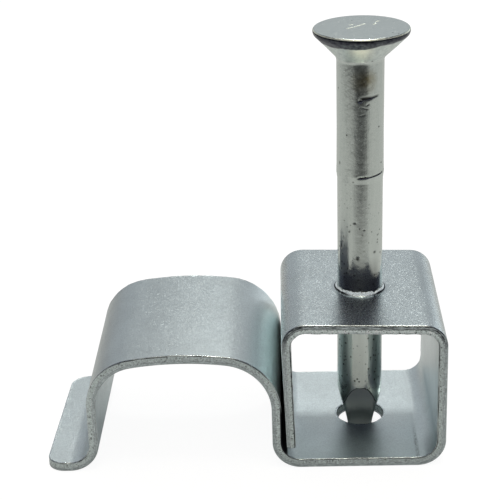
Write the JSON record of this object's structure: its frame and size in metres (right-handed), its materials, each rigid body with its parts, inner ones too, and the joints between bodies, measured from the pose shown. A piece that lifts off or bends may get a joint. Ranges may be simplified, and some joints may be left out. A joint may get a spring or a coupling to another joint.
{
  "type": "wire clip",
  "caption": "Folded steel strip clip: a square nail box beside an arched cable channel with a short foot, and a countersunk nail standing in the box.",
  "frame": {"origin": "on the nail's axis at the underside of the box, in the plane of the wall that the clip is nailed to; the nail's point ends there", "axes": "+Z away from the wall towards the nail's head, +X from the cable channel to the nail box, +Y across the strip, along the cable"},
  "size_m": [0.0343, 0.016, 0.0364],
  "materials": {
    "zinc_plated_strip": "satin bright-zinc plating over cold-rolled strip, grey sheared edges",
    "zinc_plated_nail": "glossier bright-zinc plating over drawn wire, with pits and die marks"
  },
  "bodies": {
    "root": {"clip": "zinc_plated_strip", "nail": "zinc_plated_nail"}
  },
  "joints": []
}
